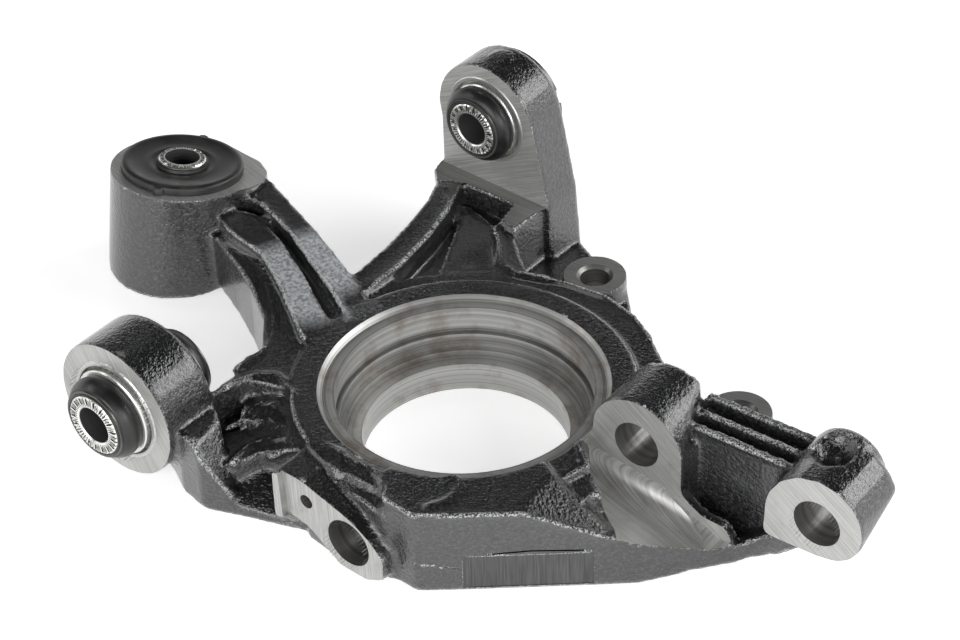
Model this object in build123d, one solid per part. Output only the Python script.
from build123d import *
import math
import os

# Rear steering knuckle. All sizes in millimetres.
# +Z is the wheel axis, pointing out of the hub bore. X runs to the right of the
# photograph and Y away from the viewer. The levels below are counted from the
# machined rim of the bore. The finished part is lifted by the depth of the rim ledge,
# so that its origin lies where the bearing bore begins.

# Levels of the casting
UNDER_Z = -30.0
RING_Z = 0.0
FLANGE_Z = -3.0
FRONT_Z = 2.0
SHELF_Z = -23.5
LUG_Z = -15.0

# Stepped hub bore, from the rim down
RIM_R = 48.0
LEDGE_R = 43.3
LEDGE_DEPTH = 1.7
BEARING_R = 42.5
BEARING_DEPTH = 19.3
GROOVE_R = 43.4
GROOVE_DEPTH = 10.2
GROOVE_WIDTH = 1.6
SEAT_R = 39.3
EXIT_R = 34.3
RING_R = 57.0

# Two ball bushings for the control links. Both axes are level and parallel.
BALL_AZ = 229.0
TOP_BALL = (10.5, 114.1, 26.0)
TOP_LENGTH = 18.0
TOP_SHELL_R = 16.6
TOP_HOLE_R = 6.05
TOP_NECK_R = 9.7
TOP_REACH = 8.2
SIDE_BALL = (-113.7, -0.5, -5.0)
SIDE_LENGTH = 22.0
SIDE_SHELL_R = 18.2
SIDE_HOLE_R = 6.55
SIDE_NECK_R = 10.7
SIDE_REACH = 10.5
SIDE_BARREL_R = 24.6
TOP_EYE_R = 21.3
TOP_LEDGE_Z = -0.5

# Rubber bushing at the end of the long arm, leaning back from the wheel axis
BUSH_FACE = (-97.2, 114.5, 9.6)
BUSH_LEAN = 10.0
BUSH_LEAN_AZ = 55.0
BUSH_BARREL_R = 25.4
BUSH_BORE_R = 21.0
BUSH_FOOT_Z = -25.5
BUSH_SHELL_T = 1.6
BUSH_DISC_R = 21.6
BUSH_DISC_T = 3.4
BUSH_SLEEVE_R = 8.35
BUSH_HOLE_R = 6.1
BUSH_SLEEVE_REACH = 4.6

# Two-hole arm
EAR_AZ = 232.5
EAR_1 = (53.7, -36.1, 2.0)
EAR_SPACING = 66.0
EAR_R = 17.0
EAR_HOLE_R = 8.2
EAR_LENGTH = 23.0
EAR_CUT = -13.2
DIMPLE_R = 7.5
ROUND_R = 7.0
FLOOR_RISE = 0.35

# Wheel speed sensor seat
SENSOR = (-38.0, -55.0, -18.0)
SENSOR_R = 8.5
SENSOR_DEPTH = 38.0
SENSOR_SCREW_S = -17.2
SENSOR_SCREW_Z = 8.0
M6_TAP_R = 2.5

# Caliper lugs, parallel to the wheel axis
LUGS = ((46.4, 75.7), (89.6, -1.5))
LUG_R = 11.2
LUG_HOLE_R = 5.2
LUG_CHAMFER = 1.2

# Details of the two ball bushings
TOP_SPHERE_R = 12.9
SIDE_SPHERE_R = 14.2
TOP_BULGE_R = 14.1
SIDE_BULGE_R = 14.8
TOP_CLAMP_Z = 1.2
SIDE_CLAMP_Z = 2.0
SHELL_T = 1.6
SHELL_LIP = 0.4
CLAMP_INSET = 1.0
CLAMP_T = 1.3
SNAP_GROOVE = 0.9
SNAP_PROUD = 2.0
SNAP_T = 1.5
LINER_SHARE = 0.52
WAIST_SHARE = 0.92
NECK_L = 3.4
SERRATIONS = 36
BOOT_WALL = 1.3
SPOT_DEPTH = 14.0

# Clearances
BALL_GAP = 0.05
SEAL_GAP = 0.02
SOFT_GAP = 0.1

UP = (Align.CENTER, Align.CENTER, Align.MIN)


def heading(azimuth):
    """Level unit vector at this azimuth, measured from +X towards +Y."""
    a = math.radians(azimuth)
    return Vector(math.cos(a), math.sin(a), 0)


def face_plane(point, azimuth):
    """Upright plane: local x level, local y up, normal along the azimuth."""
    n = heading(azimuth)
    return Plane(origin=point, x_dir=Vector(0, 0, 1).cross(n), z_dir=n)


def outline(points, corner=0.0):
    """Closed flat shape through the points, its corners rounded."""
    shape = make_face(Polyline(*points, close=True))
    if corner:
        shape = fillet(shape.vertices(), corner)
    return shape


def slab(points, low, high, corner=0.0):
    """Plan outline cast from one level up to another."""
    shape = Pos(0, 0, low) * outline(points, corner)
    return extrude(shape, amount=high - low, dir=(0, 0, 1))


def above(a, b, size=400.0):
    """Block that fills the space above the slope running from a to b."""
    run = Vector(*b) - Vector(*a)
    side = run.cross(Vector(0, 0, 1))
    up = side.cross(run)
    if up.Z < 0:
        up = up * -1
    align = (Align.CENTER, Align.CENTER, Align.MIN)
    return Plane(origin=a, x_dir=run, z_dir=up) * Box(size, size, 120, align=align)


def below(a, b, size=400.0):
    """Block that fills the space below the slope running from a to b."""
    run = Vector(*b) - Vector(*a)
    side = run.cross(Vector(0, 0, 1))
    up = side.cross(run)
    if up.Z < 0:
        up = up * -1
    align = (Align.CENTER, Align.CENTER, Align.MAX)
    return Plane(origin=a, x_dir=run, z_dir=up) * Box(size, size, 120, align=align)


def under(a, b, c, size=400.0):
    """Block that fills the space under the sloping plane through three points."""
    across = Vector(*b) - Vector(*a)
    up = across.cross(Vector(*c) - Vector(*a))
    if up.Z < 0:
        up = up * -1
    align = (Align.CENTER, Align.CENTER, Align.MAX)
    return Plane(origin=Vector(*a), x_dir=across, z_dir=up) * Box(size, size, 120, align=align)


def over(a, b, c, size=400.0):
    """Block that fills the space above the sloping plane through three points."""
    across = Vector(*b) - Vector(*a)
    up = across.cross(Vector(*c) - Vector(*a))
    if up.Z < 0:
        up = up * -1
    return Plane(origin=Vector(*a), x_dir=across, z_dir=up) * Box(size, size, 120, align=UP)


def ramp(points, low, a, b, corner=0.0):
    """Plan outline cast up to the slope running from a to b."""
    high = max(a[2], b[2]) + 60
    return slab(points, low, high, corner) - above(a, b)


def rib(path, width, low, a, b):
    """Narrow wall along a plan path, cast up to the slope from a to b."""
    line = Polyline(*path)
    strip = make_face(offset(line, amount=width / 2, side=Side.BOTH))
    high = max(a[2], b[2]) + 60
    wall = extrude(Pos(0, 0, low) * strip, amount=high - low, dir=(0, 0, 1))
    return wall - above(a, b)


def rod(point, azimuth, radius, front, back):
    """Level cylinder from front to back, both measured along the azimuth."""
    plane = face_plane(point, azimuth).offset(back)
    align = (Align.CENTER, Align.CENTER, Align.MIN)
    return plane * Cylinder(radius, front - back, align=align)


def drum(x, y, radius, low, high):
    align = (Align.CENTER, Align.CENTER, Align.MIN)
    return Pos(x, y, low) * Cylinder(radius, high - low, align=align)


# Hub body around the bore
hub_plan = [(-26, -60), (-45, -38), (-54, -18), (-58, 4), (-60, 22), (-50, 40), (-36, 58),
            (-14, 64), (12, 64), (36, 56), (49, 48), (58, 36), (63, 24), (67, 8),
            (66, -12), (62, -36), (45, -52), (10, -62)]
body = slab(hub_plan, UNDER_Z, FLANGE_Z, 4)
body += drum(0, 0, RING_R, UNDER_Z, RING_Z)

# Front wall block. Its top stands a little over the rim and falls away to the right.
front_plan = [(-24, -36), (-27, -57), (-17, -66), (3, -66.5), (40, -66.5), (53, -66.2),
              (65.6, -62.8), (78.3, -57.6), (82, -55), (70, -38), (62, -30), (40, -20)]
front = slab(front_plan, UNDER_Z, FRONT_Z, 3)
front -= above((16, -66, FRONT_Z), (41, -80.3, FRONT_Z - 14))
shoulder_plan = [(10, -28), (34, -34), (38.9, -43.4), (41.9, -51), (45.1, -62), (46, -80), (10, -80)]
front -= over((38.9, -43.4, -12.3), (45.1, -62, -11.2), (28, -48, 0.5)) & slab(shoulder_plan, -60, 60)
body += front
body += slab([(-26, -30), (-23, -60), (-40, -52), (-52, -38), (-46, -22)], UNDER_Z, 10) \
    - above((-26, -40, 0), (-46, -58, -18))

# Web between the hub, the side barrel and the sensor seat, with its ribs and pockets
web_plan = [(-97, 0), (-92, -14), (-84, -24), (-70, -29), (-58, -34), (-40, -40), (-38, 6),
            (-58, 24), (-66, 24), (-73, 19), (-83, 10)]
body += slab(web_plan, UNDER_Z, -19, 3) - above((-62, -19, -18), (-66, -33, -27.5))
skirt_plan = [(-100, 2), (-97, -3), (-93, -14), (-86, -23), (-71, -29), (-76, -22), (-79, -10),
              (-82, 2), (-85, 14)]
body += slab(skirt_plan, UNDER_Z, -4, 2) - above((-87, -18, -3), (-71, -28, -28))
flange_plan = [(-86, 6), (-83, 11), (-73, 20), (-62, 28), (-50, 20), (-52, -4), (-58, 3),
               (-70, 8), (-82, 1)]
body += slab(flange_plan, UNDER_Z, -1.5, 1.5)
body += ramp([(-75, 1), (-66, 6), (-57, 0), (-50, -14), (-57, -13), (-66, -3)], UNDER_Z,
             (-75, 0, -10), (-54, -8, -6), 1.5)
body += ramp([(-81, 0), (-72, -2), (-62, -7), (-50, -13), (-40, -22), (-52, -20), (-66, -17.5),
              (-77, -21)], UNDER_Z, (-78, -10, -15), (-48, -20, -5), 2)

# Side barrel of the left ball bushing
side_barrel = rod(SIDE_BALL, BALL_AZ, SIDE_BARREL_R, 0, -SIDE_LENGTH)
body += fillet(side_barrel.faces().sort_by(Axis(SIDE_BALL, heading(BALL_AZ)))[0].edges(), 3)

# Sensor seat, drawn on its machined face and carried back to the hub
seat = face_plane(SENSOR, BALL_AZ)
seat_face = [(-29.5, 16), (-18.7, 16), (-6.7, 12.6), (1.2, 10.3), (9.1, 5.7), (14.3, 0.6),
             (14.3, -8), (6.7, -12), (-4, -11.5), (-12, -6), (-17, -2.5), (-24.6, -1), (-29.5, -3)]
body += extrude(seat * outline(seat_face), amount=-28)
body += extrude(seat * outline([(-29.5, 16), (-27, 16), (-26, -2.5), (-29.5, -3)]), amount=2.2)
body += slab([(-62, -31), (-54.6, -33.2), (-52, -34.5), (-47, -37.5), (-41, -46), (-34, -52), (-20, -50),
              (-40, -20)], UNDER_Z, -18, 1.5)

# Long arm to the rubber bushing: a flat web, a raised pad and a tall outer flange
arm_plan = [(-60, 16), (-67, 26), (-67, 42), (-72, 60), (-78, 74), (-85, 87), (-100, 104),
            (-80, 118), (-64, 106), (-55, 95), (-47, 82), (-40, 68), (-34, 56), (-30, 40), (-48, 18)]
arm = slab(arm_plan, UNDER_Z, -2, 3)
arm += ramp([(-74, 116), (-65, 108), (-58.5, 97.5), (-50, 84), (-42.5, 70.5), (-36.5, 59), (-31, 46), (-38, 36),
             (-45, 54), (-52, 68), (-59, 82), (-69, 96), (-80, 106)], UNDER_Z,
            (-64, 108, 7), (-37, 54, 0.5), 2)
arm += ramp([(-86, 100), (-82, 88), (-76, 80), (-68, 72), (-60, 50), (-53, 26), (-44, 35), (-55, 65),
             (-62, 80), (-70, 94)], UNDER_Z, (-72, 88, 3.5), (-49, 30, 0.5), 1.5)
arm -= below((-92, 90, -23), (-74, 48, UNDER_Z))
body += arm

# Barrel of the rubber bushing, leaning back, with a level foot and a lug towards the arm
lean = heading(BUSH_LEAN_AZ) * math.sin(math.radians(BUSH_LEAN))
bush_up = lean + Vector(0, 0, math.cos(math.radians(BUSH_LEAN)))
bush_plane = Plane(origin=BUSH_FACE, x_dir=heading(BUSH_LEAN_AZ - 90), z_dir=bush_up)
tip_reach = [(75, 25.2), (52, 28.6), (36, 30.3), (23, 30), (11, 28), (-2, 25.2)]
tip_flat = outline([(r * math.cos(math.radians(a)), r * math.sin(math.radians(a)))
                    for a, r in tip_reach] + [(0, 0)])
barrel = extrude(bush_plane * Circle(BUSH_BARREL_R), amount=-60)
barrel += extrude(bush_plane * tip_flat, amount=-16)
barrel -= slab([(-200, 0), (0, 0), (0, 200), (-200, 200)], -120, BUSH_FOOT_Z)
body += barrel
mark = Vector(*BUSH_FACE) + heading(236) * (BUSH_BARREL_R - 0.4) + Vector(0, 0, -24)
body += face_plane(mark, 236) * extrude(Ellipse(5, 6.5), amount=1.2)

# Tower of the top ball bushing. Its face is milled down to a level ledge.
tower_plane = face_plane(TOP_BALL, BALL_AZ)
ledge = TOP_LEDGE_Z - TOP_BALL[2]
foot = UNDER_Z - TOP_BALL[2]
flank = [(-20.3, 4), (-20.3, foot), (29.5, foot), (27.4, ledge), (20.8, 5)]
tower = extrude(tower_plane * (Circle(TOP_EYE_R) + outline(flank)), amount=-TOP_LENGTH)
tower = fillet(tower.faces().sort_by(Axis(TOP_BALL, heading(BALL_AZ)))[0].edges(), 3)
tower += slab([(-6, 128.5), (-8.5, 123), (-8, 116.5), (-1, 115.5), (19, 100), (14, 90), (19, 84.5),
               (31, 98.5), (36, 103), (0, 134)], UNDER_Z, TOP_LEDGE_Z)
body += tower
body += drum(TOP_BALL[0] + 6, TOP_BALL[1] + 7, 3.5, TOP_BALL[2] + 18, TOP_BALL[2] + TOP_EYE_R + 0.6)

# Web from the hub up to the tower, with its flanges
body += slab([(-35, 58), (-27, 71), (-18, 87), (-11, 101), (-8, 116), (2, 124), (30, 98), (19, 85),
              (16, 60)], UNDER_Z, -10, 2)
body += rib([(-34, 57), (-24, 69), (-14, 86), (-7.5, 99.5), (-3.5, 114)], 9, UNDER_Z, (-30, 60, -0.5), (-6, 110, -0.5))
body += ramp([(-10, 56), (-2, 92), (1, 112), (4, 109), (12, 96), (13, 60)], UNDER_Z,
             (-4, 60, -3), (3, 105, -7), 2)
body += slab([(11, 58), (13, 90), (19, 85), (21, 72), (24, 58)], UNDER_Z, -3, 1.5)

# Caliper lugs with their webs
body += slab([(20, 56), (21, 86), (30, 98), (42, 108), (50, 90), (58, 74), (60, 40), (40, 40)],
             UNDER_Z, -22, 2)
body += slab([(58, 20), (68, 12), (84, 9), (98, -8), (86, -26), (60, -22)], UNDER_Z, -19, 2)
for x, y in LUGS:
    body += drum(x, y, LUG_R, UNDER_Z, LUG_Z)

# Two-hole arm: two eyes joined by a ribbed bar above the lower shelf
ear_plane = face_plane(EAR_1, EAR_AZ)
ear_out = heading(EAR_AZ)
ear_along = Vector(0, 0, 1).cross(ear_out)
ear_foot = UNDER_Z - EAR_1[2]


def ear_point(along, height, out=0.0):
    """Point measured from the centre of the first eye's face."""
    return Vector(*EAR_1) + ear_along * along + ear_out * out + Vector(0, 0, height)


waist_points = [ear_point(16.5, 0, -1), ear_point(9, 0, -EAR_LENGTH - 1), ear_point(30, 0, -EAR_LENGTH - 1),
                ear_point(30, 0, -1)]
ears = rod(EAR_1, EAR_AZ, EAR_R, 0, -EAR_LENGTH) - slab([(p.X, p.Y) for p in waist_points], -8, 40)
ears += extrude(ear_plane * outline([(-18.6, 2), (-18.6, ear_foot), (17, ear_foot), (17, 2)]),
                amount=-EAR_LENGTH)
ears += extrude(ear_plane * outline([(17, -13), (25, -17.5), (33, -18), (36, -22), (34, -27),
                                     (34, ear_foot), (17, ear_foot)]), amount=-4)
eye_flat = outline([(-19, EAR_CUT), (-18.6, 0), (-17.2, 5), (-13.5, 10.8), (-7.5, 15.2), (0, 17), (7, 15.6),
                    (12.3, 11.6), (15.3, 6.3), (15.9, 1), (15.2, -4.2), (12.2, -8.8), (7.4, -12), (0, EAR_CUT)], 2)
eye_2 = extrude(ear_plane * Pos(EAR_SPACING, 0) * eye_flat, amount=-EAR_LENGTH)
eye_2 = fillet(eye_2.faces().sort_by(Axis(EAR_1, ear_out))[0].edges(), 2.5)
eye_2 -= under(ear_point(EAR_SPACING + 15.2, -4.2), ear_point(EAR_SPACING + 12.3, -1.5, -EAR_LENGTH),
               ear_point(EAR_SPACING + 9.3, -9.6, -EAR_LENGTH))
collar = rod(ear_point(EAR_SPACING - 3, 5.5), EAR_AZ, 13, -EAR_LENGTH + 9, -EAR_LENGTH - 3.5)
ears += eye_2 + fillet(collar.faces().sort_by(Axis(EAR_1, ear_out))[0].edges(), 2.5)
bar_face = ear_plane.offset(-10)
bar = extrude(bar_face * outline([(10, 8), (10, ear_foot), (EAR_SPACING, EAR_CUT), (EAR_SPACING, 8)]),
              amount=-17.5)
for near, far in ((-12.5, -16.8), (-19.2, -24.5)):
    slot_flat = outline([(10.5, 2), (EAR_SPACING - 15.5, 2), (EAR_SPACING - 15.5, 20), (10.5, 20)], 1.5)
    bar -= extrude(ear_plane.offset(near) * slot_flat, amount=far - near)
ears += bar
ears -= Pos(ear_point(EAR_SPACING - 4, DIMPLE_R + 12.5, -15)) * Sphere(DIMPLE_R)
shelf_plan = [(58, -60), (72, -61), (79, -59.3), (85, -58.5), (92, -60.3), (98, -65), (112, -68), (118, -58),
              (70, -20), (56, -20)]
shelf_slab = slab(shelf_plan, UNDER_Z, -8, 1)
low_rib = shelf_slab - over((68.4, -34.8, SHELF_Z), (84.3, -47, SHELF_Z), (79, -59.3, SHELF_Z + 2))
low_rib += shelf_slab - over((86, -48.5, SHELF_Z), (84.5, -58.5, SHELF_Z + 2), (93, -60.5, -16))
low_rib -= below((84, -58.5, -29.3), (93, -60.5, -25.2))
low_rib -= below((90, -60, -27), (98, -65, -20.5))
ears += low_rib
body += ears

# Milled relief in front of the first eye: a floor that rises outwards and the round left by
# the corner of the cutter. A dip of the raw casting breaks into its left end.
heel = ear_point(-18.6, -17.6)
toe = ear_point(33.8, -26.5)
relief_plan = [(heel.X, heel.Y), (38.9, -43.4), (41.9, -51), (45.1, -62), (47, -80), (84, -80),
               (toe.X + 1.6, toe.Y - 1.2)]
relief = slab(relief_plan, -60, 60)
relief -= under(heel, toe, heel + ear_out * 20 + Vector(0, 0, FLOOR_RISE * 20))
round_edge = relief.edges().filter_by(lambda e: (e.center() - heel).cross(toe - heel).length < 1)
body -= fillet(round_edge, ROUND_R)
body -= slab([(heel.X, heel.Y), (46.7, -39.5), (38.9, -43.4)], -18, 60)

# Machined bores and holes
bore = drum(0, 0, EXIT_R, UNDER_Z - 1, 8)
bore += drum(0, 0, SEAT_R, -BEARING_DEPTH, 8)
bore += drum(0, 0, BEARING_R - 1.2, -BEARING_DEPTH + 2, 8)
bore += drum(0, 0, GROOVE_R, -GROOVE_DEPTH - GROOVE_WIDTH, -GROOVE_DEPTH)
bore += drum(0, 0, BEARING_R, -GROOVE_DEPTH, 8)
bore += Pos(0, 0, -LEDGE_DEPTH) * Cone(LEDGE_R + 3, RIM_R, LEDGE_DEPTH, align=UP)
bore += drum(0, 0, RIM_R, 0, 8)
body -= bore
body -= rod(TOP_BALL, BALL_AZ, TOP_SHELL_R, 20, -TOP_LENGTH - 20)
body -= rod(SIDE_BALL, BALL_AZ, SIDE_SHELL_R, 20, -SIDE_LENGTH - 20)
body -= rod(SIDE_BALL, BALL_AZ, SIDE_SHELL_R + SNAP_PROUD + 1.3, -SIDE_LENGTH, -SIDE_LENGTH - SPOT_DEPTH)
body -= bush_plane * Cylinder(BUSH_BORE_R, 200)
body -= bush_plane * Cylinder(BUSH_DISC_R + 9, 12, align=UP)
for spot in (ear_point(0, 0), ear_point(EAR_SPACING, 0)):
    body -= rod(spot, EAR_AZ, EAR_HOLE_R, 10, -EAR_LENGTH - 30)
body -= rod(SENSOR, BALL_AZ, SENSOR_R, 10, -SENSOR_DEPTH)
screw = Vector(*SENSOR) + seat.x_dir * SENSOR_SCREW_S + Vector(0, 0, SENSOR_SCREW_Z)
body -= rod(screw, BALL_AZ, M6_TAP_R, 10, -16)
for x, y in LUGS:
    body -= drum(x, y, LUG_HOLE_R, UNDER_Z - 1, LUG_Z + 1)
    body -= Pos(x, y, LUG_Z - LUG_CHAMFER) * Cone(LUG_HOLE_R, LUG_HOLE_R + 2 * LUG_CHAMFER,
                                                  2 * LUG_CHAMFER, align=UP)

os.makedirs("parts", exist_ok=True)


def save(name, solid):
    """Lifts the finished piece to the origin's level and writes it."""
    solids = (Pos(0, 0, LEDGE_DEPTH) * solid).solids()
    print(name, len(solids), [round(s.volume) for s in solids])
    export_step(max(solids, key=lambda s: s.volume), f"parts/{name}.step")


save("knuckle_casting", body)


def turned(points):
    """Solid of revolution about local z, from its half section in radius and height."""
    section = Plane.XZ * outline(points)
    return revolve(section, Axis.Z)


def ball_bushing(prefix, point, length, shell_r, ball_r, neck_r, hole_r, reach, bulge_r, clamp_z):
    """Link bushing: shell, liner, drilled ball with serrated necks, two boots and their rings."""
    centre = face_plane(point, BALL_AZ).offset(-length / 2)
    half = length / 2
    inner_r = shell_r - SHELL_T
    lip = half + SHELL_LIP

    shell = turned([(inner_r, -lip - SNAP_T), (shell_r - SNAP_GROOVE, -lip - SNAP_T),
                    (shell_r - SNAP_GROOVE, -half), (shell_r, -half), (shell_r, half),
                    (shell_r - 0.4, lip), (inner_r, lip)])
    save(f"{prefix}_shell", centre * shell)

    liner_h = ball_r * LINER_SHARE
    liner = Cylinder(inner_r, 2 * liner_h) - Sphere(ball_r + BALL_GAP)
    save(f"{prefix}_liner", centre * liner)

    waist_r = neck_r * WAIST_SHARE
    end = half + reach
    ball = Sphere(ball_r) + Cylinder(waist_r, 2 * (end - NECK_L))
    for turn in (Rot(0, 0, 0), Rot(180, 0, 0)):
        neck = Cylinder(neck_r, NECK_L, align=UP)
        neck = chamfer(neck.edges().group_by(Axis.Z)[-1], 0.4)
        for k in range(SERRATIONS):
            tooth = Box(neck_r, 0.7, 0.5, align=(Align.MIN, Align.CENTER, Align.MIN))
            neck -= Rot(0, 0, 360 / SERRATIONS * k) * Pos(hole_r + 1.5, 0, NECK_L - 0.5) * tooth
        neck -= Pos(0, 0, NECK_L - 0.5) * Cone(hole_r, hole_r + 0.7, 0.7, align=UP)
        ball += turn * Pos(0, 0, end - NECK_L) * neck
    ball -= Cylinder(hole_r, 2 * end + 2)
    save(f"{prefix}_ball", centre * ball)

    clamp_out = inner_r - CLAMP_INSET
    clamp_in = clamp_out - CLAMP_T
    seat_z = half - 0.8
    clamp = turned([(clamp_in, seat_z), (clamp_out, seat_z), (clamp_out, half + clamp_z - 0.4),
                    (clamp_out - 0.4, half + clamp_z), (clamp_in, half + clamp_z)])

    start = liner_h + SEAL_GAP
    start_r = math.sqrt(ball_r ** 2 - start ** 2) + 0.35
    shoulder = half + 0.86 * reach
    top = end - 0.4
    grip_r = neck_r + SOFT_GAP
    rest_r = waist_r + SOFT_GAP
    boot = turned([(start_r, start), (inner_r - SEAL_GAP, start), (inner_r - SEAL_GAP, seat_z - SEAL_GAP),
                   (clamp_in - SEAL_GAP, seat_z - SEAL_GAP), (clamp_in - SEAL_GAP, half + clamp_z + 0.05),
                   (bulge_r - 0.35, half + 0.3 * reach), (bulge_r, half + 0.45 * reach),
                   (bulge_r - 0.35, half + 0.62 * reach), (bulge_r - 1.2, half + 0.77 * reach),
                   (neck_r + 2.0, shoulder - SEAL_GAP), (neck_r + 0.9, shoulder - SEAL_GAP),
                   (neck_r + 0.9, top), (grip_r, top), (grip_r, end - NECK_L - SOFT_GAP),
                   (rest_r, end - NECK_L - SOFT_GAP), (rest_r, top - NECK_L - 0.6),
                   (bulge_r - BOOT_WALL - 0.9, half + 0.5 * reach), (bulge_r - BOOT_WALL, half + 0.36 * reach),
                   (clamp_in - BOOT_WALL, half + 0.6), (clamp_in - BOOT_WALL, seat_z)])
    ring = turned([(neck_r + 0.9 + SEAL_GAP, shoulder), (neck_r + 1.7, shoulder), (neck_r + 1.7, shoulder + 0.7),
                   (neck_r + 0.9 + SEAL_GAP, shoulder + 0.7)])
    for side, turn in (("front", Rot(0, 0, 0)), ("rear", Rot(180, 0, 0))):
        save(f"{prefix}_clamp_{side}", centre * turn * clamp)
        save(f"{prefix}_boot_{side}", centre * turn * boot)
        save(f"{prefix}_boot_ring_{side}", centre * turn * ring)

    snap = turned([(shell_r - SNAP_GROOVE, -half - SNAP_T), (shell_r + SNAP_PROUD, -half - SNAP_T),
                   (shell_r + SNAP_PROUD, -half), (shell_r - SNAP_GROOVE, -half)])
    snap -= Rot(0, 0, 20) * Pos(shell_r, 0, -half) * Box(8, 5, 6)
    save(f"{prefix}_snap_ring", centre * snap)


ball_bushing("top", TOP_BALL, TOP_LENGTH, TOP_SHELL_R, TOP_SPHERE_R, TOP_NECK_R, TOP_HOLE_R, TOP_REACH,
             TOP_BULGE_R, TOP_CLAMP_Z)
ball_bushing("side", SIDE_BALL, SIDE_LENGTH, SIDE_SHELL_R, SIDE_SPHERE_R, SIDE_NECK_R, SIDE_HOLE_R,
             SIDE_REACH, SIDE_BULGE_R, SIDE_CLAMP_Z)

# Rubber bushing: pressed steel shell, bonded rubber with its cover disc, and the steel sleeve
bush_drop = (BUSH_FACE[2] - BUSH_FOOT_Z) / math.cos(math.radians(BUSH_LEAN))
shell_low = -bush_drop + 5
bush_shell = turned([(BUSH_BORE_R - BUSH_SHELL_T, shell_low), (BUSH_BORE_R, shell_low),
                     (BUSH_BORE_R, -0.8), (BUSH_BORE_R - BUSH_SHELL_T, -0.8)])
save("bush_shell", bush_plane * bush_shell)

rubber_r = BUSH_BORE_R - BUSH_SHELL_T
sleeve_seat = BUSH_SLEEVE_R + SOFT_GAP
rubber = turned([(sleeve_seat, shell_low + 3), (rubber_r, shell_low + 1), (rubber_r, -0.8),
                 (BUSH_BORE_R - 0.05, -0.8), (BUSH_BORE_R - 0.05, SEAL_GAP), (BUSH_DISC_R, SEAL_GAP),
                 (BUSH_DISC_R, 1.6), (BUSH_DISC_R - 1.2, BUSH_DISC_T), (BUSH_SLEEVE_R + 3.2, BUSH_DISC_T),
                 (BUSH_SLEEVE_R + 2.2, BUSH_DISC_T - 0.7), (BUSH_SLEEVE_R + 0.9, BUSH_DISC_T - 0.5),
                 (BUSH_SLEEVE_R + 0.6, BUSH_DISC_T + 0.2), (sleeve_seat, BUSH_DISC_T + 0.2)])
for turn, high in ((113, 2.4), (-75, 0.4)):
    tab = Box(2.4, 3.4, BUSH_DISC_T + high - SEAL_GAP, align=UP)
    rubber += Rot(0, 0, turn) * Pos(BUSH_DISC_R - 0.6, 0, SEAL_GAP) * tab
rubber -= Rot(0, 0, 33) * Pos(BUSH_DISC_R - 6.5, 0, BUSH_DISC_T - 0.8) * Cylinder(0.9, 2, align=UP)
save("bush_rubber", bush_plane * rubber)

sleeve_low = -bush_drop + 0.3
sleeve = Pos(0, 0, sleeve_low) * Cylinder(BUSH_SLEEVE_R, BUSH_SLEEVE_REACH - sleeve_low, align=UP)
sleeve = chamfer(sleeve.edges().group_by(Axis.Z)[-1], 0.6)
for k in range(SERRATIONS):
    tooth = Box(4, 0.6, 0.4, align=(Align.MIN, Align.CENTER, Align.MIN))
    sleeve -= Rot(0, 0, 360 / SERRATIONS * k) * Pos(BUSH_HOLE_R + 0.4, 0, BUSH_SLEEVE_REACH - 0.4) * tooth
sleeve -= Cylinder(BUSH_HOLE_R, 140)
save("bush_sleeve", bush_plane * sleeve)
